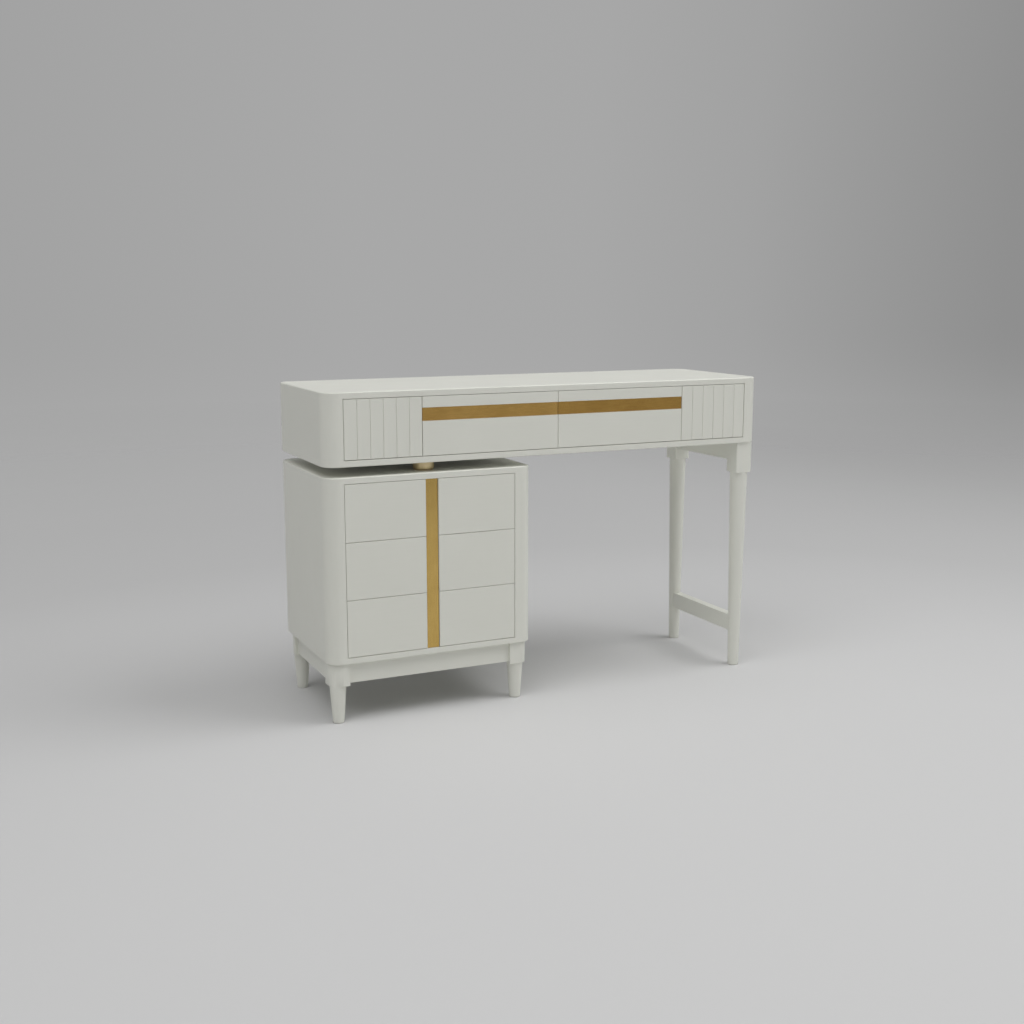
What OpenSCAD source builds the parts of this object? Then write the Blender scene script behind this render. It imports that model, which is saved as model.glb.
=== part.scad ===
// Miniature dressing table, twelfth scale: a long desk with two drawers and slatted ends, carried on
// the right by a two-legged frame and on the left by a six-drawer cabinet that swivels on a brass post.
// Millimetres. X runs to the right, Y to the back, Z up; the origin is on the floor, under the middle.

/* [Desk] */
// Width of the desk, left to right
desk_w = 100; // [90:0.5:130]
// Depth of the desk, front to back
desk_d = 32.4; // [30:0.1:45]
// Height of the desk box
desk_h = 14.4; // [12:0.1:20]
// Height of the worktop above the floor
overall_h = 65.9; // [60:0.1:85]
// Thickness of the top and bottom boards
board_t = 1.25; // [1:0.05:2]
// Thickness of the desk's rounded sides
side_t = 3.9; // [3:0.1:6]
// Radius of the desk's upright corners and of the cabinet's outer ones
corner_r = 3.1; // [1:0.1:6]
// Thickness of the back panels
back_t = 1.2; // [0.8:0.1:2]
// Thickness of the partitions inside
partition_t = 1.4; // [1:0.1:2]
// Small bevel on the outer edges
ease = 0.15; // [0.05:0.01:0.3]

/* [Fronts] */
// Gap that shows around each drawer front and each slatted panel
gap = 0.1; // [0.08:0.01:0.4]
// Thickness of the drawer fronts
front_t = 1.8; // [1.4:0.1:3]
// Width of the two desk drawers together
drawer_bay_w = 59.8; // [50:0.1:65]
// Bevel on the edges of the fronts
front_ease = 0.06; // [0.05:0.01:0.2]
// Number of slats in each end panel
slat_count = 6; // [3:1:9]
// Thickness of a slat
slat_t = 1; // [0.6:0.1:1.2]
// Bevel on the edges of a slat, which makes the groove between two of them
slat_ease = 0.09; // [0.05:0.01:0.2]
// Joint between two slats, at the foot of the groove
slat_gap = 0.03; // [0.02:0.01:0.3]

/* [Brass] */
// Width of the strips in the desk drawers
brass_w = 2.6; // [1.5:0.1:4]
// Width of the upright strip on the cabinet
stile_w = 2.5; // [1.5:0.1:4]
// Thickness of the brass strips
brass_t = 0.5; // [0.3:0.05:0.8]
// How far the strips in the desk drawers lie behind the fronts
brass_recess = 0.15; // [0.05:0.01:0.4]
// How far the upright strip on the cabinet lies behind the fronts
stile_recess = 0.25; // [0.05:0.01:0.4]
// Painted margin above the strips in the desk drawers
brass_drop = 2.2; // [1:0.1:5]

/* [Drawer boxes] */
// Wall of a drawer box
tray_wall = 0.9; // [0.6:0.1:1.5]
// Floor of a drawer box
tray_floor = 0.8; // [0.5:0.1:1.2]
// Room between a drawer box and the upper edge of its front
tray_top_clear = 1.5; // [0.5:0.1:4]
// Drawer box floor above the lower edge of its front
tray_lift = 0.4; // [0.2:0.1:1]
// Room between a drawer box and the runner that it slides on
slide_clear = 0.1; // [0.05:0.01:0.2]
// Room at each side of a desk drawer box
side_clear = 0.3; // [0.2:0.05:0.5]
// How far a cabinet drawer box lies in from the side edges of its front
tray_inset = 0.15; // [0.1:0.05:0.3]
// Room behind a drawer box
back_clear = 0.6; // [0.3:0.1:2]
// Width of a runner
runner_w = 1.2; // [0.8:0.1:1.8]

/* [Cabinet] */
// Width of the cabinet
cab_w = 44; // [38:0.1:50]
// Depth of the cabinet
cab_d = 32.2; // [28:0.1:40]
// Height of the cabinet box
cab_h = 37.15; // [30:0.05:45]
// Thickness of the cabinet's sides
cab_side_t = 3.8; // [3:0.05:6]
// Radius of the cabinet's corners beside the knee space
inner_corner_r = 2.2; // [0.3:0.1:3]
// Open space between the cabinet and the desk
cab_gap = 2; // [1.5:0.1:4]

/* [Cabinet base] */
// Width of the square block at the top of each foot
foot_block = 3.9; // [3:0.1:5]
// Left block centres in from the cabinet's left side
foot_inset = 2.4; // [2.1:0.05:4]
// Right block centres in from the cabinet's right side
foot_inner_inset = 2.75; // [2.1:0.05:4]
// Front block centres behind the cabinet's front
foot_front_inset = 2.5; // [2.1:0.1:4]
// Back block centres in from the cabinet's back
foot_back_inset = 4.3; // [2.2:0.1:5]
// Radius of a foot just under its block
foot_top_r = 1.7; // [1.2:0.05:1.8]
// Radius of a foot at the floor
foot_tip_r = 1.15; // [0.8:0.05:1.6]
// Height of the round part of a foot
foot_round_h = 7.8; // [5:0.1:10]
// Height of the rails between the blocks
foot_rail_h = 4.1; // [2:0.1:4.5]
// How far the cabinet's rails lie behind the faces of the blocks
foot_rail_set_back = 0.6; // [0.1:0.05:0.8]

/* [Leg frame] */
// Width of the square block at the top of each leg
leg_block = 3.9; // [3.7:0.1:5]
// Height of the blocks
leg_block_h = 6.7; // [5:0.1:10]
// Leg axis in from the desk's right side
leg_inset = 3.2; // [2.2:0.1:6]
// Front leg axis behind the desk's front
leg_front_inset = 2.3; // [2:0.1:6]
// Back leg axis in from the desk's back
leg_back_inset = 4.9; // [2:0.1:8]
// Radius of a leg just under its block
leg_top_r = 1.93; // [1.3:0.01:1.93]
// Radius of a leg at the floor
leg_tip_r = 1.22; // [1.1:0.01:1.6]
// Height of the rail under the desk
leg_rail_h = 4.1; // [2:0.1:6]
// Height of the stretcher's lower edge above the floor
stretcher_z = 8; // [4:0.1:20]
// Height of the stretcher
stretcher_h = 3.6; // [2:0.1:6]
// Thickness of the stretcher
stretcher_t = 2; // [1.2:0.1:2.4]
// How far the stretcher's ends enter the legs
tenon = 0.9; // [0.5:0.1:1.2]

/* [Rails and dowels] */
// Thickness of the rails
rail_t = 2; // [1.4:0.1:2.8]
// How far the leg frame's rail lies behind the faces of the blocks
rail_set_back = 0.35; // [0.1:0.05:0.8]
// Radius of a dowel
dowel_r = 0.4; // [0.3:0.05:0.5]
// Length of a dowel
dowel_l = 2; // [1.6:0.1:2.4]

/* [Pivot] */
// Radius of the brass post
post_r = 2.15; // [2:0.05:3]
// Post axis behind the cabinet's front
post_inset = 4.7; // [4:0.1:8]
// Radius of the post's spigots
spigot_r = 1.2; // [0.8:0.05:1.4]
// Radial wall of the bush
bush_wall = 0.75; // [0.4:0.05:1]
// Radial wall of the thrust washer
washer_wall = 0.6; // [0.4:0.05:0.65]
// Thickness of the thrust washer
washer_t = 0.2; // [0.15:0.05:0.6]
// Thickness of the nuts
nut_t = 0.6; // [0.4:0.05:0.7]
// Corner radius of the hexagon nuts
nut_r = 1.9; // [1.7:0.05:2.1]

/* [Fits] */
// Radial room of the turning spigot in its bush
run_fit = 0.05; // [0.02:0.01:0.1]
// Room around glued and pressed pieces
glue_fit = 0.02; // [0.01:0.01:0.04]

/* [Hidden] */
$fn = 64;
front_y = -desk_d / 2;
back_y = desk_d / 2;
under_z = overall_h - desk_h;
desk_floor_z = under_z + board_t;
desk_ceiling_z = overall_h - board_t;
desk_inner_h = desk_ceiling_z - desk_floor_z;
desk_inner_x = desk_w / 2 - side_t;
bay_x = drawer_bay_w / 2;
behind_fronts = front_t + gap;
desk_front_w = bay_x - gap;
desk_front_h = desk_inner_h - 2 * gap;
desk_tray_w = bay_x - partition_t - 2 * side_clear;
desk_tray_d = desk_d - front_t - back_t - back_clear;
desk_tray_h = desk_front_h - tray_lift - tray_top_clear;
runner_h = gap + tray_lift - slide_clear;

cab_x0 = -desk_w / 2;
cab_mid_x = cab_x0 + cab_w / 2;
cab_top_z = under_z - cab_gap;
cab_z = cab_top_z - cab_h;
cab_floor_z = cab_z + board_t;
cab_ceiling_z = cab_top_z - board_t;
cab_inner_h = cab_ceiling_z - cab_floor_z;
cab_inner_half = cab_w / 2 - cab_side_t;
cab_back_y = front_y + cab_d;
cab_rows = 3;
cab_front_h = (cab_inner_h - (cab_rows + 1) * gap) / cab_rows;
cab_front_w = cab_inner_half - stile_w / 2 - 2 * gap;
cab_tray_w = cab_front_w - 2 * tray_inset;
cab_tray_d = cab_d - front_t - back_t - back_clear;
cab_tray_h = cab_front_h - tray_lift - tray_top_clear;

foot_h = cab_z;
foot_block_h = foot_h - foot_round_h;
foot_x = [cab_x0 + foot_inset, cab_x0 + cab_w - foot_inner_inset];
foot_y = [front_y + foot_front_inset, cab_back_y - foot_back_inset];
rail_axis_offset = foot_block / 2 - foot_rail_set_back - rail_t / 2;
foot_corner_r = [foot_round(corner_r, foot_inset), foot_round(inner_corner_r, foot_inner_inset)];
leg_x = desk_w / 2 - leg_inset;
leg_y = [front_y + leg_front_inset, back_y - leg_back_inset];

pivot_x = cab_mid_x;
pivot_y = front_y + post_inset;
shoulder_z = cab_top_z + washer_t + run_fit;
lock_nut_z = cab_ceiling_z - nut_t - 2 * run_fit;

// Outer corner of a foot's block, rounded about the same axis as the cabinet's corner above it
function foot_round(r, inset) = max(ease, min(foot_block - ease, r - inset + foot_block / 2));

// ---- shared shapes ----

// Plan of a box, centred on the origin, with corners of radius rl on the left and rr on the right
module rounded_plan(w, d, rl, rr) {
    for (sy = [-1, 1]) {
        translate([-w / 2 + rl, sy * (d / 2 - rl)])
            circle(rl);
        translate([w / 2 - rr, sy * (d / 2 - rr)])
            circle(rr);
    }
    translate([-w / 2 + rl, -d / 2])
        square([w - rl - rr, d]);
    translate([-w / 2, -d / 2 + rl])
        square([rl, d - 2 * rl]);
    translate([w / 2 - rr, -d / 2 + rr])
        square([rr, d - 2 * rr]);
}

// Board with that plan, its upper outer edge bevelled by e
module eased_board(w, d, t, rl, rr, e) {
    linear_extrude(t - e)
        rounded_plan(w, d, rl, rr);
    translate([0, 0, t - e]) {
        for (sy = [-1, 1]) {
            translate([-w / 2 + rl, sy * (d / 2 - rl), 0])
                cylinder(h = e, r1 = rl, r2 = rl - e);
            translate([w / 2 - rr, sy * (d / 2 - rr), 0])
                cylinder(h = e, r1 = rr, r2 = rr - e);
        }
        translate([-w / 2 + rl, 0, 0])
            rotate([90, 0, 90])
                linear_extrude(w - rl - rr)
                    polygon([[-d / 2, 0], [d / 2, 0], [d / 2 - e, e], [-d / 2 + e, e]]);
        translate([0, d / 2 - rl, 0])
            rotate([90, 0, 0])
                linear_extrude(d - 2 * rl)
                    polygon([[-w / 2, 0], [-w / 2 + rl, 0], [-w / 2 + rl, e], [-w / 2 + e, e]]);
        translate([0, d / 2 - rr, 0])
            rotate([90, 0, 0])
                linear_extrude(d - 2 * rr)
                    polygon([[w / 2 - rr, 0], [w / 2, 0], [w / 2 - e, e], [w / 2 - rr, e]]);
    }
}

// Rounded end of a box: the stretch of its plan from x = from to x = to
module rounded_side(w, d, rl, rr, h, from, to) {
    linear_extrude(h)
        intersection() {
            rounded_plan(w, d, rl, rr);
            translate([from, -d / 2])
                square([to - from, d]);
        }
}

// Upright panel from the origin, with the edges of its front face bevelled by e
module eased_panel(w, t, h, e) {
    intersection() {
        linear_extrude(h)
            polygon([[e, 0], [w - e, 0], [w, e], [w, t], [0, t], [0, e]]);
        rotate([90, 0, 90])
            linear_extrude(w)
                polygon([[e, 0], [t, 0], [t, h], [e, h], [0, h - e], [0, e]]);
    }
}

// Open drawer box from the origin
module tray(w, d, h) {
    difference() {
        cube([w, d, h]);
        translate([tray_wall, tray_wall, tray_floor])
            cube([w - 2 * tray_wall, d - 2 * tray_wall, h]);
    }
}

// Round, tapered leg from the floor up
module tapered_round(h, top_r, tip_r) {
    rotate_extrude()
        polygon([[0, 0], [tip_r - ease, 0], [tip_r, ease], [top_r, h], [0, h]]);
}

// Square block of a leg, its upright edges bevelled
module leg_block_shape(block, h) {
    linear_extrude(h)
        translate([-block / 2, -block / 2])
            polygon([
                [ease, 0], [block - ease, 0], [block, ease], [block, block - ease],
                [block - ease, block], [ease, block], [0, block - ease], [0, ease]
            ]);
}

// Square block of a foot, its outer corner, at -X and -Y, rounded to radius r
module foot_block_shape(block, h, r) {
    linear_extrude(h)
        translate([-block / 2, -block / 2]) {
            intersection() {
                translate([r, r])
                    circle(r);
                square(r);
            }
            translate([r, 0])
                square([block - r, block]);
            translate([0, r])
                square([block, block - r]);
        }
}

// Pin along X, Y or Z, centred on the origin
module pin(r, l, turn) {
    rotate(turn)
        translate([0, 0, -l / 2])
            cylinder(h = l, r = r);
}

// ---- desk box ----

module desk_top() {
    color("#ebece7")
        translate([0, 0, desk_ceiling_z])
            eased_board(desk_w, desk_d, board_t, corner_r, corner_r, ease);
}

module desk_bottom() {
    color("#ebece7")
        difference() {
            translate([0, 0, desk_floor_z])
                mirror([0, 0, 1])
                    eased_board(desk_w, desk_d, board_t, corner_r, corner_r, ease);
            translate([pivot_x, pivot_y, under_z - 1])
                cylinder(h = board_t + 2, r = spigot_r + glue_fit);
            translate([pivot_x, pivot_y, desk_floor_z - nut_t])
                cylinder(h = nut_t + 1, r = nut_r + gap);
            leg_frame_pins(dowel_r + glue_fit, dowel_l + 2 * glue_fit);
        }
}

module desk_side(from, to) {
    rounded_side(desk_w, desk_d, corner_r, corner_r, desk_inner_h, from, to);
}

module desk_left_side() {
    color("#ebece7")
        translate([0, 0, desk_floor_z])
            desk_side(-desk_w / 2, -desk_inner_x);
}

module desk_right_side() {
    color("#ebece7")
        translate([0, 0, desk_floor_z])
            desk_side(desk_inner_x, desk_w / 2);
}

module desk_back() {
    color("#ebece7")
        translate([-desk_inner_x, back_y - back_t, desk_floor_z])
            cube([2 * desk_inner_x, back_t, desk_inner_h]);
}

module partition(x) {
    color("#ddd8c8")
        translate([x - partition_t / 2, front_y + behind_fronts, desk_floor_z])
            cube([partition_t, desk_d - behind_fronts - back_t, desk_inner_h]);
}

// A strip at each side of both drawer bays
module desk_drawer_runners() {
    color("#cdb892")
        for (side = [-1, 1], from = [partition_t / 2, bay_x - partition_t / 2 - runner_w])
            translate([side * (from + runner_w / 2) - runner_w / 2, front_y + behind_fronts, desk_floor_z])
                cube([runner_w, desk_d - behind_fronts - back_t, runner_h]);
}

// ---- slatted ends ----

module slats(side) {
    start = side < 0 ? -desk_inner_x + gap : bay_x + gap / 2;
    pitch = (desk_inner_x - bay_x - 1.5 * gap) / slat_count;
    color("#e6e7e2")
        for (i = [0 : slat_count - 1])
            translate([start + i * pitch + slat_gap / 2, front_y, desk_floor_z + gap])
                eased_panel(pitch - slat_gap, slat_t, desk_inner_h - 2 * gap, slat_ease);
}

module slat_backer(side) {
    w = desk_inner_x - bay_x - gap / 2;
    color("#d8d9d3")
        translate([side < 0 ? -desk_inner_x : bay_x + gap / 2, front_y + slat_t, desk_floor_z])
            cube([w, behind_fronts - slat_t, desk_inner_h]);
}

// ---- desk drawers: side is -1 for the left one and 1 for the right one ----

function desk_front_x(side) = side < 0 ? -bay_x + gap / 2 : gap / 2;

module desk_drawer_front(side) {
    color("#e6e7e2")
        translate([desk_front_x(side), front_y, desk_floor_z + gap])
            difference() {
                eased_panel(desk_front_w, front_t, desk_front_h, front_ease);
                translate([-1, -1, desk_front_h - brass_drop - brass_w - glue_fit])
                    cube([desk_front_w + 2, 1 + brass_recess + brass_t, brass_w + 2 * glue_fit]);
            }
}

module desk_drawer_brass(side) {
    color("#b08a4a")
        translate([
            desk_front_x(side),
            front_y + brass_recess,
            desk_floor_z + gap + desk_front_h - brass_drop - brass_w
        ])
            cube([desk_front_w, brass_t, brass_w]);
}

module desk_drawer_box(side) {
    x = side * bay_x / 2 - desk_tray_w / 2;
    color("#d9c7a3")
        translate([x, front_y + front_t, desk_floor_z + gap + tray_lift])
            tray(desk_tray_w, desk_tray_d, desk_tray_h);
}

// ---- leg frame under the right end ----

// Two pins across the rail's ends and one upright pin in the top of each block
module leg_frame_pins(r, l) {
    for (end = [0, 1]) {
        inward = end == 0 ? 1 : -1;
        translate([leg_x, leg_y[end] + inward * leg_block / 2, under_z - leg_rail_h / 2])
            pin(r, l, [90, 0, 0]);
        translate([leg_x, leg_y[end], under_z - dowel_l / 2 + board_t / 2])
            pin(r, l, [0, 0, 0]);
    }
}

module stretcher_bar(room) {
    reach = leg_tip_r - tenon;
    translate([
        leg_x - stretcher_t / 2 - room,
        leg_y[0] + reach - room,
        stretcher_z - room
    ])
        cube([
            stretcher_t + 2 * room,
            leg_y[1] - leg_y[0] - 2 * reach + 2 * room,
            stretcher_h + 2 * room
        ]);
}

module desk_leg(end) {
    color("#e3e4de")
        difference() {
            translate([leg_x, leg_y[end], 0]) {
                tapered_round(under_z - leg_block_h, leg_top_r, leg_tip_r);
                translate([0, 0, under_z - leg_block_h])
                    leg_block_shape(leg_block, leg_block_h);
            }
            stretcher_bar(glue_fit);
            leg_frame_pins(dowel_r + glue_fit, dowel_l + 2 * glue_fit);
        }
}

module leg_top_rail() {
    color("#e3e4de")
        difference() {
            translate([
                leg_x - leg_block / 2 + rail_set_back,
                leg_y[0] + leg_block / 2,
                under_z - leg_rail_h
            ])
                cube([
                    leg_block - 2 * rail_set_back,
                    leg_y[1] - leg_y[0] - leg_block,
                    leg_rail_h
                ]);
            leg_frame_pins(dowel_r + glue_fit, dowel_l + 2 * glue_fit);
        }
}

module leg_stretcher() {
    color("#e3e4de")
        stretcher_bar(0);
}

module leg_frame_dowels() {
    color("#c9a76b")
        leg_frame_pins(dowel_r, dowel_l);
}

// ---- swivel between the cabinet and the desk ----

module pivot_post() {
    color("#c8a15a")
        translate([pivot_x, pivot_y, 0])
            rotate_extrude()
                polygon([
                    [0, lock_nut_z - run_fit],
                    [spigot_r, lock_nut_z - run_fit],
                    [spigot_r, shoulder_z],
                    [post_r - ease, shoulder_z],
                    [post_r, shoulder_z + ease],
                    [post_r, under_z - ease],
                    [post_r - ease, under_z],
                    [spigot_r, under_z],
                    [spigot_r, desk_floor_z],
                    [0, desk_floor_z]
                ]);
}

module hex_nut(z) {
    color("#b7b9bb")
        translate([pivot_x, pivot_y, z])
            difference() {
                cylinder(h = nut_t, r = nut_r, $fn = 6);
                translate([0, 0, -1])
                    cylinder(h = nut_t + 2, r = spigot_r + glue_fit);
            }
}

module pivot_bush() {
    color("#b08a4a")
        translate([pivot_x, pivot_y, cab_ceiling_z])
            difference() {
                cylinder(h = board_t, r = spigot_r + bush_wall);
                translate([0, 0, -1])
                    cylinder(h = board_t + 2, r = spigot_r + run_fit);
            }
}

module pivot_washer() {
    color("#4a4238")
        translate([pivot_x, pivot_y, cab_top_z])
            difference() {
                cylinder(h = washer_t, r = spigot_r + washer_wall);
                translate([0, 0, -1])
                    cylinder(h = washer_t + 2, r = spigot_r + run_fit);
            }
}

// ---- cabinet box ----

module cabinet_top() {
    color("#ebece7")
        difference() {
            translate([cab_mid_x, front_y + cab_d / 2, cab_ceiling_z])
                eased_board(cab_w, cab_d, board_t, corner_r, inner_corner_r, ease);
            translate([pivot_x, pivot_y, cab_ceiling_z - 1])
                cylinder(h = board_t + 2, r = spigot_r + bush_wall + glue_fit);
        }
}

module cabinet_bottom() {
    color("#ebece7")
        difference() {
            translate([cab_mid_x, front_y + cab_d / 2, cab_floor_z])
                mirror([0, 0, 1])
                    eased_board(cab_w, cab_d, board_t, corner_r, inner_corner_r, ease);
            base_pins(dowel_r + glue_fit, dowel_l + 2 * glue_fit);
        }
}

module cabinet_side(from, to) {
    rounded_side(cab_w, cab_d, corner_r, inner_corner_r, cab_inner_h, from, to);
}

module cabinet_left_side() {
    color("#ebece7")
        translate([cab_mid_x, front_y + cab_d / 2, cab_floor_z])
            cabinet_side(-cab_w / 2, -cab_inner_half);
}

module cabinet_right_side() {
    color("#ebece7")
        translate([cab_mid_x, front_y + cab_d / 2, cab_floor_z])
            cabinet_side(cab_inner_half, cab_w / 2);
}

module cabinet_back() {
    color("#ebece7")
        translate([cab_mid_x - cab_inner_half, cab_back_y - back_t, cab_floor_z])
            cube([2 * cab_inner_half, back_t, cab_inner_h]);
}

// Panel between the columns of drawers, with a wider lipping that carries the brass;
// its top front corner is cut away around the lock nut
module cabinet_divider() {
    lip_y = front_y + stile_recess + brass_t;
    panel_y = front_y + behind_fronts;
    notch_back = pivot_y + nut_r + gap + side_clear;
    notch_z = lock_nut_z - gap - side_clear;
    color("#ddd8c8")
        difference() {
            union() {
                translate([cab_mid_x - stile_w / 2, lip_y, cab_floor_z])
                    cube([stile_w, panel_y - lip_y, cab_inner_h]);
                translate([cab_mid_x - partition_t / 2, panel_y, cab_floor_z])
                    cube([partition_t, cab_d - behind_fronts - back_t, cab_inner_h]);
            }
            translate([cab_mid_x - partition_t, panel_y, notch_z])
                cube([2 * partition_t, notch_back - panel_y, cab_ceiling_z - notch_z + 1]);
        }
}

module cabinet_brass_stile() {
    color("#c79a4a")
        translate([cab_mid_x - stile_w / 2, front_y + stile_recess, cab_floor_z + gap / 2])
            cube([stile_w, brass_t, cab_inner_h - gap]);
}

// Lower edge of the fronts in a row, counted from the bottom
function row_z(row) = cab_floor_z + gap + row * (cab_front_h + gap);

// Two strips for each drawer, one on the side and one on the divider
module cabinet_drawer_runners() {
    inner_w = cab_inner_half - partition_t / 2;
    lip = stile_w / 2 + gap + tray_inset - partition_t / 2;
    y = front_y + behind_fronts;
    color("#cdb892")
        for (row = [0 : cab_rows - 1], side = [-1, 1]) {
            z = row_z(row) + tray_lift - slide_clear - runner_h;
            translate([cab_mid_x + side * (cab_inner_half - runner_w / 2) - runner_w / 2, y, z])
                cube([runner_w, cab_d - behind_fronts - back_t, runner_h]);
            translate([
                cab_mid_x + side * (partition_t / 2 + (lip + runner_w) / 2) - (lip + runner_w) / 2,
                y,
                z
            ])
                cube([lip + runner_w, cab_d - behind_fronts - back_t, runner_h]);
        }
}

// ---- cabinet drawers: row 0 is the bottom one, side is -1 for the left column ----

function cab_front_x(side) = cab_mid_x + (side < 0 ? -cab_inner_half + gap : stile_w / 2 + gap);

module cabinet_drawer_front(row, side) {
    color("#e6e7e2")
        translate([cab_front_x(side), front_y, row_z(row)])
            eased_panel(cab_front_w, front_t, cab_front_h, front_ease);
}

module cabinet_drawer_box(row, side) {
    color("#d9c7a3")
        translate([cab_front_x(side) + tray_inset, front_y + front_t, row_z(row) + tray_lift])
            tray(cab_tray_w, cab_tray_d, cab_tray_h);
}

// ---- cabinet base ----

// Eight pins across the rails' ends and one upright pin in the top of each block
module base_pins(r, l) {
    for (i = [0, 1], j = [0, 1]) {
        in_x = i == 0 ? 1 : -1;
        in_y = j == 0 ? 1 : -1;
        z = cab_z - foot_rail_h / 2;
        translate([foot_x[i] + in_x * foot_block / 2, rail_axis_y(j), z + dowel_r + gap])
            pin(r, l, [0, 90, 0]);
        translate([rail_axis_x(i), foot_y[j] + in_y * foot_block / 2, z - dowel_r - gap])
            pin(r, l, [90, 0, 0]);
        translate([foot_x[i], foot_y[j], cab_z - dowel_l / 2 + board_t / 2])
            pin(r, l, [0, 0, 0]);
    }
}

// Middle of a rail's thickness: its outer face lies foot_rail_set_back behind the faces of the blocks
function rail_axis_y(j) = foot_y[j] + (j == 0 ? -1 : 1) * rail_axis_offset;
function rail_axis_x(i) = foot_x[i] + (i == 0 ? -1 : 1) * rail_axis_offset;

module base_long_rail(j) {
    color("#e3e4de")
        difference() {
            translate([foot_x[0] + foot_block / 2, rail_axis_y(j) - rail_t / 2, cab_z - foot_rail_h])
                cube([foot_x[1] - foot_x[0] - foot_block, rail_t, foot_rail_h]);
            base_pins(dowel_r + glue_fit, dowel_l + 2 * glue_fit);
        }
}

module base_short_rail(i) {
    color("#e3e4de")
        difference() {
            translate([rail_axis_x(i) - rail_t / 2, foot_y[0] + foot_block / 2, cab_z - foot_rail_h])
                cube([rail_t, foot_y[1] - foot_y[0] - foot_block, foot_rail_h]);
            base_pins(dowel_r + glue_fit, dowel_l + 2 * glue_fit);
        }
}

module foot(i, j) {
    color("#e3e4de")
        difference() {
            translate([foot_x[i], foot_y[j], 0]) {
                tapered_round(foot_round_h, foot_top_r, foot_tip_r);
                translate([0, 0, foot_round_h])
                    mirror([i, 0, 0])
                        mirror([0, j, 0])
                            foot_block_shape(foot_block, foot_block_h, foot_corner_r[i]);
            }
            base_pins(dowel_r + glue_fit, dowel_l + 2 * glue_fit);
        }
}

module base_dowels() {
    color("#c9a76b")
        base_pins(dowel_r, dowel_l);
}

// ---- the assembly ----

desk_top();
desk_bottom();
desk_left_side();
desk_right_side();
desk_back();
partition(-bay_x);  // left_partition
partition(0);  // middle_partition
partition(bay_x);  // right_partition
desk_drawer_runners();
slats(-1);  // left_slats
slat_backer(-1);  // left_slat_backer
slats(1);  // right_slats
slat_backer(1);  // right_slat_backer
desk_drawer_front(-1);  // left_drawer_front
desk_drawer_box(-1);  // left_drawer_box
desk_drawer_brass(-1);  // left_drawer_brass
desk_drawer_front(1);  // right_drawer_front
desk_drawer_box(1);  // right_drawer_box
desk_drawer_brass(1);  // right_drawer_brass
desk_leg(0);  // front_leg
desk_leg(1);  // back_leg
leg_top_rail();
leg_stretcher();
leg_frame_dowels();
pivot_post();
hex_nut(desk_floor_z - nut_t);  // pivot_top_nut
hex_nut(lock_nut_z);  // pivot_lock_nut
pivot_bush();
pivot_washer();
cabinet_top();
cabinet_bottom();
cabinet_left_side();
cabinet_right_side();
cabinet_back();
cabinet_divider();
cabinet_brass_stile();
cabinet_drawer_runners();
cabinet_drawer_front(2, -1);  // top_left_front
cabinet_drawer_box(2, -1);  // top_left_box
cabinet_drawer_front(2, 1);  // top_right_front
cabinet_drawer_box(2, 1);  // top_right_box
cabinet_drawer_front(1, -1);  // middle_left_front
cabinet_drawer_box(1, -1);  // middle_left_box
cabinet_drawer_front(1, 1);  // middle_right_front
cabinet_drawer_box(1, 1);  // middle_right_box
cabinet_drawer_front(0, -1);  // bottom_left_front
cabinet_drawer_box(0, -1);  // bottom_left_box
cabinet_drawer_front(0, 1);  // bottom_right_front
cabinet_drawer_box(0, 1);  // bottom_right_box
base_long_rail(0);  // base_front_rail
base_long_rail(1);  // base_back_rail
base_short_rail(0);  // base_left_rail
base_short_rail(1);  // base_right_rail
foot(0, 0);  // foot_front_left
foot(1, 0);  // foot_front_right
foot(0, 1);  // foot_back_left
foot(1, 1);  // foot_back_right
base_dowels();
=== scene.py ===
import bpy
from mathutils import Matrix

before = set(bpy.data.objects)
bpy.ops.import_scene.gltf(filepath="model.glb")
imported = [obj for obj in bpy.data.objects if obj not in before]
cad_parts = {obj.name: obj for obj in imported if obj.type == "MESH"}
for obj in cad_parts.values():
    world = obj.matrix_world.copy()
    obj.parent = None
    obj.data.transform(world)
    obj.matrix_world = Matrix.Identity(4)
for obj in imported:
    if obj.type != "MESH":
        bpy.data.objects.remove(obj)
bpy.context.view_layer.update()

import math

import bpy
from mathutils import Vector

# ---- desk box ----
# Top, bottom and back boards glued up between two thick sides with rounded upright corners. The wood
# is close-grained, filled and rubbed down, and sprayed off-white once it is together, so the joints
# don't show; only the faintest grain and the spray's own texture tell in the satin lacquer.


class Value:
    """A number, colour or vector on its way to a socket; sums on numbers become Math nodes."""

    def __init__(self, recipe, socket):
        self.recipe = recipe
        self.socket = socket

    def other(self, output):
        """Another output of the node that this value comes from."""
        return Value(self.recipe, self.socket.node.outputs[output])

    def work(self, operation, first, second):
        return self.recipe.node("ShaderNodeMath", {"operation": operation}, {0: first, 1: second})

    def __add__(self, other):
        return self.work("ADD", self, other)

    def __sub__(self, other):
        return self.work("SUBTRACT", self, other)

    def __rsub__(self, other):
        return self.work("SUBTRACT", other, self)

    def __mul__(self, other):
        return self.work("MULTIPLY", self, other)

    __radd__ = __add__
    __rmul__ = __mul__


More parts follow.
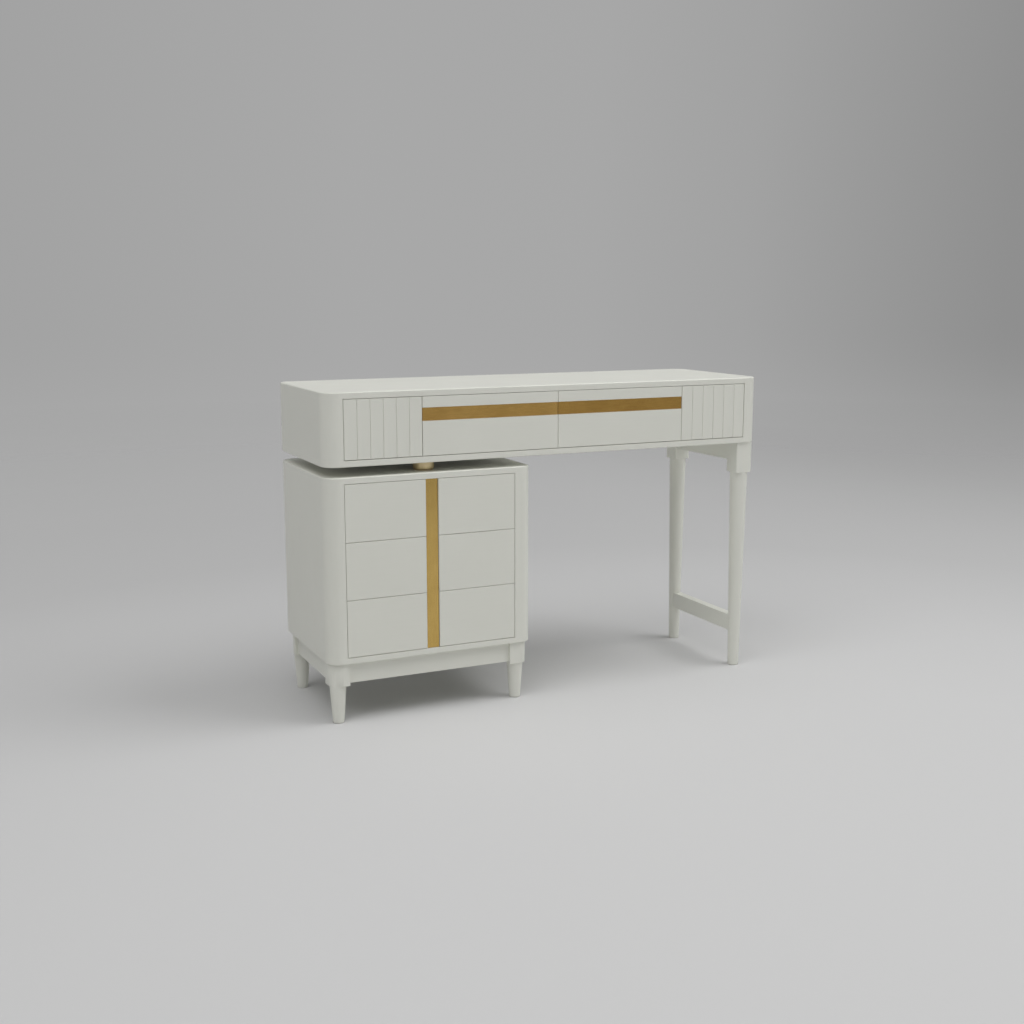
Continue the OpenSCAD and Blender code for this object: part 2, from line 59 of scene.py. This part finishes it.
class Recipe:
    """The nodes of one finish, or of the room: node() adds any node and fills its sockets."""

    def __init__(self, tree):
        self.nodes = tree.nodes
        self.links = tree.links

    def fill(self, node, sockets):
        for key, value in sockets.items():
            if isinstance(value, Value):
                self.links.new(value.socket, node.inputs[key])
            else:
                node.inputs[key].default_value = value

    def node(self, kind, settings, sockets, output=0):
        made = self.nodes.new(kind)
        for key, value in settings.items():
            if key == "stops":
                ramp = made.color_ramp
                while len(ramp.elements) < len(value):
                    ramp.elements.new(1)
                for element, (place, colour) in zip(ramp.elements, value):
                    element.position = place
                    element.color = (*colour, 1)
            else:
                setattr(made, key, value)
        self.fill(made, sockets)
        return Value(self, made.outputs[output])

    def stretch(self, value, low, high, to_low=0, to_high=1):
        """Carries low..high over to to_low..to_high, with a soft start and end."""
        settings = {"interpolation_type": "SMOOTHSTEP"}
        return self.node("ShaderNodeMapRange", settings, {0: value, 1: low, 2: high, 3: to_low, 4: to_high})

    def blend(self, share, first, second):
        """A colour from first, at share 0, to second, at share 1."""
        sockets = {0: share, 6: first if isinstance(first, Value) else (*first, 1), 7: (*second, 1)}
        return self.node("ShaderNodeMix", {"data_type": "RGBA"}, sockets, 2)


class Finish(Recipe):
    """A material: surface() sets the sockets of its shader."""

    def __init__(self, name):
        self.material = bpy.data.materials.new(name)
        self.material.use_nodes = True
        super().__init__(self.material.node_tree)
        self.shader = self.nodes["Principled BSDF"]

    def surface(self, **sockets):
        self.fill(self.shader, {key.replace("_", " "): value for key, value in sockets.items()})

    def noise(self, lumps, detail=2, roughness=0.5):
        """Noise in the piece's own frame: lumps per metre, one number or one each for X, Y and Z."""
        at = self.node("ShaderNodeTexCoord", {}, {}, "Object")
        scale = lumps if isinstance(lumps, tuple) else (lumps, lumps, lumps)
        place = self.node("ShaderNodeMapping", {}, {"Vector": at, "Scale": scale})
        sockets = {"Vector": place, "Scale": 1, "Detail": detail, "Roughness": roughness}
        return self.node("ShaderNodeTexNoise", {}, sockets, "Fac")

    def edge_wear_and_highlight(self, width):
        """1 along every edge, 0 on the flat: marks paint worn thin and a painted highlight."""
        faced = self.node("ShaderNodeNewGeometry", {}, {}, "Normal")
        turned = self.node("ShaderNodeBevel", {"samples": 6}, {"Radius": width})
        settings = {"operation": "DOT_PRODUCT"}
        facing = self.node("ShaderNodeVectorMath", settings, {0: faced, 1: turned}, "Value")
        return self.stretch(1 - facing, 0.02, 0.25)

    def bump(self, height, depth):
        return self.node("ShaderNodeBump", {}, {"Strength": 1, "Distance": depth, "Height": height}, "Normal")


def cover(finish, *names):
    """Puts a finish on CAD nodes."""
    for name in names:
        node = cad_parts[name]
        node.data.materials.clear()
        node.data.materials.append(finish.material)


thin_coat = (0.792, 0.797, 0.724)
full_coat = (0.846, 0.850, 0.779)
worn_edge_highlight_tone = (0.90, 0.89, 0.81)
edge_width = 0.00025
spray_depth = 0.000005


def white_lacquer(name, grain):
    """Sprayed satin lacquer over filled wood whose grain, lumps per metre, runs one way."""
    lacquer = Finish(name)
    spray = lacquer.noise(2400, detail=1)
    drift = lacquer.noise(70, detail=3)
    wood = lacquer.noise(grain, detail=4, roughness=0.6)
    handled = lacquer.stretch(lacquer.noise(160, detail=4, roughness=0.65), 0.45, 0.75)
    # Edges are blended towards a lighter colour: partly paint worn thin, partly a painted highlight.
    edge = lacquer.edge_wear_and_highlight(edge_width)
    tone = lacquer.blend(drift * 0.6 + wood * 0.4, thin_coat, full_coat)
    lacquer.surface(
        Base_Color=lacquer.blend(edge * 0.35, tone, worn_edge_highlight_tone),
        Roughness=0.34 + 0.10 * handled + 0.06 * spray,
        Normal=lacquer.bump(spray + 0.8 * wood, spray_depth),
    )
    return lacquer


with_grain = 140
over_grain = 3600
lacquer_across = white_lacquer("lacquer_across", (with_grain, over_grain, over_grain))
lacquer_upright = white_lacquer("lacquer_upright", (over_grain, over_grain, with_grain))
cover(lacquer_across, "desk_top", "desk_bottom", "desk_back")
cover(lacquer_upright, "desk_left_side", "desk_right_side")

# ---- partitions and runners ----
# Sanded birch, unpainted inside: three partitions glued between the boards, and a thin strip at
# each side of both bays that a drawer box slides on.
with_figure = 120
over_figure = 900
pore_depth = 0.00001


def bare_wood(name, grain, light, dark):
    """Sanded close-grained wood: long pale figure with short fine pores."""
    wood = Finish(name)
    figure = wood.noise(grain, detail=4, roughness=0.6)
    pores = wood.noise(tuple(6 * lumps for lumps in grain))
    wood.surface(
        Base_Color=wood.blend(wood.stretch(0.75 * figure + 0.25 * pores, 0.3, 0.7), dark, light),
        Roughness=0.60 + 0.18 * pores,
        Normal=wood.bump(0.6 * pores + 0.4 * figure, pore_depth),
    )
    return wood


birch = bare_wood("birch", (over_figure, with_figure, over_figure), (0.70, 0.54, 0.36), (0.54, 0.39, 0.23))
cover(birch, "left_partition", "middle_partition", "right_partition", "desk_drawer_runners")

# ---- slatted ends ----
# Six narrow slats glued side by side on a backing board at each end, their long edges planed off
# so that a fine groove shows between them, and painted with the box.
cover(lacquer_upright, "left_slats", "right_slats", "left_slat_backer", "right_slat_backer")

# ---- desk drawers ----
# A painted front with a plain birch box glued behind it. A shallow channel is cut along the front
# and a strip of satin brass, its fine lines running lengthwise, is glued in. The right strip's
# brass colours are a shade deeper than the left's: a painted reflection of a darker surround.
with_lines = 420
over_lines = 15000
line_depth = 0.000003
sheet_roughness = 0.13
strip_tones_painted_reflection = {
    "left": ((0.637, 0.388, 0.113), (0.767, 0.484, 0.152)),
    "right": ((0.543, 0.318, 0.083), (0.653, 0.396, 0.112)),
}
lightly_eased = 0.00005


def satin_brass(name, lines, dark, light, roughness):
    """Brass rubbed with fine abrasive paper: lines, lumps per metre, run along the strip."""
    brass = Finish(name)
    fine = brass.noise(lines, detail=3, roughness=0.65)
    cloudy = brass.noise(220, detail=3)
    tone = brass.stretch(0.6 * fine + 0.4 * cloudy, 0.34, 0.66)
    brass.surface(
        Base_Color=brass.blend(tone, dark, light),
        Metallic=1.0,
        Roughness=roughness + 0.12 * fine,
        Normal=brass.bump(fine, line_depth),
    )
    return brass


def soften(width, *names):
    """Takes the sharpness off the edges of separate pieces, as sanding does."""
    for name in names:
        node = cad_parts[name]
        weld = node.modifiers.new("weld", "WELD")
        weld.merge_threshold = 0.000001
        bevel = node.modifiers.new("soft_edge", "BEVEL")
        bevel.width = width
        bevel.segments = 2
        bevel.limit_method = "ANGLE"
        bevel.angle_limit = math.radians(40)
        bevel.harden_normals = True


for side, (dark, light) in strip_tones_painted_reflection.items():
    lengthwise = (with_lines, over_lines, over_lines)
    strip = satin_brass("brass_" + side, lengthwise, dark, light, sheet_roughness)
    cover(lacquer_across, side + "_drawer_front")
    cover(birch, side + "_drawer_box")
    cover(strip, side + "_drawer_brass")
    soften(lightly_eased, side + "_drawer_box", side + "_drawer_brass")

# ---- leg frame ----
# Two turned and tapered legs, each with a square block left at the top, joined by a rail under the
# desk and a stretcher let into the legs near the floor. Beech dowels hold the rail and the blocks.
rubbed_down = 0.00006
beech = bare_wood("beech", (over_figure, over_figure, with_figure), (0.64, 0.44, 0.26), (0.47, 0.30, 0.16))
lacquer_deep = white_lacquer("lacquer_deep", (over_grain, with_grain, over_grain))
cover(lacquer_upright, "front_leg", "back_leg")
cover(lacquer_deep, "leg_top_rail", "leg_stretcher")
cover(beech, "leg_frame_dowels")
soften(rubbed_down, "front_leg", "back_leg", "leg_top_rail", "leg_stretcher")

# ---- swivel ----
# A short turned brass post joins desk and cabinet: its upper spigot is nutted into the desk's
# bottom board, and its lower one turns in a brass bush, with a cream nylon washer under the shoulder.
deburred = 0.00004
moulding_depth = 0.000004
turned_brass = satin_brass("turned_brass", 9000, (0.86, 0.70, 0.42), (0.95, 0.80, 0.51), roughness=0.34)
steel = Finish("steel")
milling = steel.noise((5000, 5000, 600), detail=3)
steel.surface(
    Base_Color=steel.blend(milling, (0.50, 0.51, 0.52), (0.62, 0.63, 0.64)),
    Metallic=1.0,
    Roughness=0.28 + 0.14 * milling,
    Normal=steel.bump(milling, line_depth),
)
nylon = Finish("nylon")
moulding = nylon.noise(3000)
nylon.surface(
    Base_Color=nylon.blend(moulding, (0.60, 0.49, 0.33), (0.68, 0.57, 0.40)),
    Roughness=0.45 + 0.12 * moulding,
    Normal=nylon.bump(moulding, moulding_depth),
)
cover(turned_brass, "pivot_post", "pivot_bush")
cover(steel, "pivot_top_nut", "pivot_lock_nut")
cover(nylon, "pivot_washer")
soften(deburred, "pivot_post", "pivot_bush", "pivot_top_nut", "pivot_lock_nut", "pivot_washer")

# ---- cabinet box ----
# Built like the desk box. An upright divider between the two columns of drawers has a lipping on
# its front edge, with one long strip of satin brass glued to it from bottom to top.
upright = (over_lines, over_lines, with_lines)
stile_dark = (0.60, 0.402, 0.122)
stile_light = (0.73, 0.504, 0.166)
stile_brass = satin_brass("brass_upright", upright, stile_dark, stile_light, sheet_roughness)
cover(lacquer_across, "cabinet_top", "cabinet_bottom", "cabinet_back")
cover(lacquer_upright, "cabinet_left_side", "cabinet_right_side")
cover(birch, "cabinet_divider", "cabinet_drawer_runners")
cover(stile_brass, "cabinet_brass_stile")
soften(lightly_eased, "cabinet_brass_stile")

# ---- cabinet drawers ----
# Six painted fronts in three rows, with narrow gaps between them and no handles. Each has its own
# birch box glued on behind, which slides on the strips in the cabinet.
for row in ("top", "middle", "bottom"):
    for side in ("left", "right"):
        cover(lacquer_across, f"{row}_{side}_front")
        cover(birch, f"{row}_{side}_box")
        soften(lightly_eased, f"{row}_{side}_box")

# ---- cabinet base ----
# Four short feet, turned to a taper under a square block whose outer corner is rounded to follow
# the cabinet, with rails dowelled between the blocks. The frame is dowelled up into the bottom board.
cover(lacquer_across, "base_front_rail", "base_back_rail")
cover(lacquer_deep, "base_left_rail", "base_right_rail")
cover(beech, "base_dowels")
soften(rubbed_down, "base_front_rail", "base_back_rail", "base_left_rail", "base_right_rail")
for end in ("front", "back"):
    for side in ("left", "right"):
        cover(lacquer_upright, f"foot_{end}_{side}")
        soften(rubbed_down, f"foot_{end}_{side}")

# ---- studio ----
# A pale paper floor runs back and fades into a grey sweep. The paper's grey is painted light and
# shade: it changes with distance from a point before the desk, and painted shade darkens it in front
# and to the right. The sweep's grey is painted light too, darker to the right and lighter below the
# horizon. Four round softboxes, from the front right, the front left, the front and overhead, and a
# dim room light the piece from above.
scene = bpy.context.scene
scene.view_settings.view_transform = "Standard"
paper_reach = 1.2
# Painted light: the paper's grey by distance from a point before the desk, lighter further out.
painted_paper_falloff = (
    (0.0, 0.695), (0.13, 0.69), (0.22, 0.65), (0.3, 0.70), (0.4, 0.79), (0.55, 0.91), (1.2, 0.95)
)
paper_fade = (
    (0.08, 0.0), (0.12, 0.05), (0.225, 0.18), (0.34, 0.37), (0.45, 0.6), (0.6, 0.88), (0.8, 1.0)
)
painted_sweep_light = (
    (0.0, 0.33), (0.54, 0.365), (0.66, 0.393), (0.74, 0.388), (0.79, 0.36), (0.86, 0.275), (1.0, 0.24)
)


def grey(shade):
    return (shade, shade, shade)


def greys(recipe, value, reach, shades):
    """A ramp of greys: shades holds places from 0 to reach, and the shade at each."""
    stops = [(place / reach, grey(shade)) for place, shade in shades]
    return recipe.node("ShaderNodeValToRGB", {"stops": stops}, {"Fac": value * (1 / reach)})


bpy.ops.mesh.primitive_plane_add(size=8)
floor = bpy.context.object
floor.name = "floor"
paper = Finish("paper")
here = paper.node("ShaderNodeTexCoord", {}, {}, "Object")
before_desk = Vector((0, -0.08, 0))
off = paper.node("ShaderNodeVectorMath", {"operation": "DISTANCE"}, {0: here, 1: before_desk}, "Value")
to_right = paper.node("ShaderNodeSeparateXYZ", {}, {"Vector": here}, "X")
to_back = to_right.other("Y")
# Painted shade: the paper turns dark grey in front of the piece, so the brass reflects a darker floor.
painted_shade_in_front = paper.stretch(to_back - 0.3 * to_right, -0.48, -0.15, 1, 0)
# Painted shade: the paper is darker to the right, where the right softbox lights it more.
painted_shade_beside = paper.stretch(to_right, 0.12, 0.34, 0, 0.75)
paper_painted_tone = paper.blend(painted_shade_beside, greys(paper, off, paper_reach, painted_paper_falloff), grey(0.58))
fibre = paper.noise(1800, detail=3)
paper.surface(
    Base_Color=paper.blend(painted_shade_in_front, paper_painted_tone, grey(0.40)),
    Roughness=0.85 + 0.1 * fibre,
    Specular_IOR_Level=0.1,
)
faded = greys(paper, off, paper_reach, paper_fade)
solid = Value(paper, paper.shader.outputs[0])
clear = paper.node("ShaderNodeBsdfTransparent", {}, {})
laid = paper.node("ShaderNodeMixShader", {}, {0: faded, 1: solid, 2: clear})
paper.fill(paper.nodes["Material Output"], {"Surface": laid})
floor.data.materials.append(paper.material)

world = bpy.data.worlds.new("room")
scene.world = world
world.use_nodes = True
room = Recipe(world.node_tree)
toward = room.node("ShaderNodeTexCoord", {}, {}, "Generated")
rightward = room.node("ShaderNodeSeparateXYZ", {}, {"Vector": toward}, "X")
upward = rightward.other("Z")
room_light = room.stretch(upward, 0.0, 0.5, 0.36, 0.17)
dim = room.node("ShaderNodeBackground", {}, {"Color": (1, 1, 1, 1), "Strength": room_light})
# Painted light on the backdrop: darker to the right, and lighter just below the horizon.
wall = greys(room, 0.5 + 0.5 * rightward, 1, painted_sweep_light)
sweep = room.blend(room.stretch(upward, -0.15, -0.03, 0.6, 0), wall, grey(0.43))
seen = room.node("ShaderNodeBackground", {}, {"Color": sweep})
camera_ray = room.node("ShaderNodeLightPath", {}, {}, "Is Camera Ray")
glossy_ray = camera_ray.other("Is Glossy Ray")
shown = room.node("ShaderNodeMath", {"operation": "MAXIMUM"}, {0: camera_ray, 1: glossy_ray})
surround = room.node("ShaderNodeMixShader", {}, {0: shown, 1: dim, 2: seen})
room.fill(room.nodes["World Output"], {"Surface": surround})


def softbox(name, azimuth, elevation, size, radiance):
    """A round softbox aimed at the middle of the piece, placed by its angles in degrees."""
    middle = Vector((0, 0, 0.03))
    away = 0.62
    lamp = bpy.data.lights.new(name, "AREA")
    lamp.shape = "DISK"
    lamp.size = size
    lamp.energy = radiance * math.pi * math.pi * size * size / 4
    box = bpy.data.objects.new(name, lamp)
    scene.collection.objects.link(box)
    turn = math.radians(azimuth)
    rise = math.radians(elevation)
    out = Vector((math.cos(rise) * math.cos(turn), math.cos(rise) * math.sin(turn), math.sin(rise)))
    box.location = middle + away * out
    box.rotation_euler = out.to_track_quat("Z", "Y").to_euler()
    box.visible_camera = False


softbox("right_softbox", azimuth=-28, elevation=51, size=0.44, radiance=3.16)
softbox("left_softbox", azimuth=-150, elevation=55, size=0.44, radiance=1.96)
softbox("front_softbox", azimuth=-90, elevation=50, size=0.44, radiance=0.70)
softbox("top_softbox", azimuth=0, elevation=90, size=0.6, radiance=0.68)

lens = bpy.data.cameras.new("camera")
lens.sensor_width = 36
lens.lens = 45.31
lens.clip_start = 0.01
camera = bpy.data.objects.new("camera", lens)
scene.collection.objects.link(camera)
looking_down = math.radians(10.037)
turned_right = math.radians(25.301)
camera.location = (-0.12154, -0.25105, 0.08618)
camera.rotation_euler = (math.pi / 2 - looking_down, 0, -turned_right)
scene.camera = camera
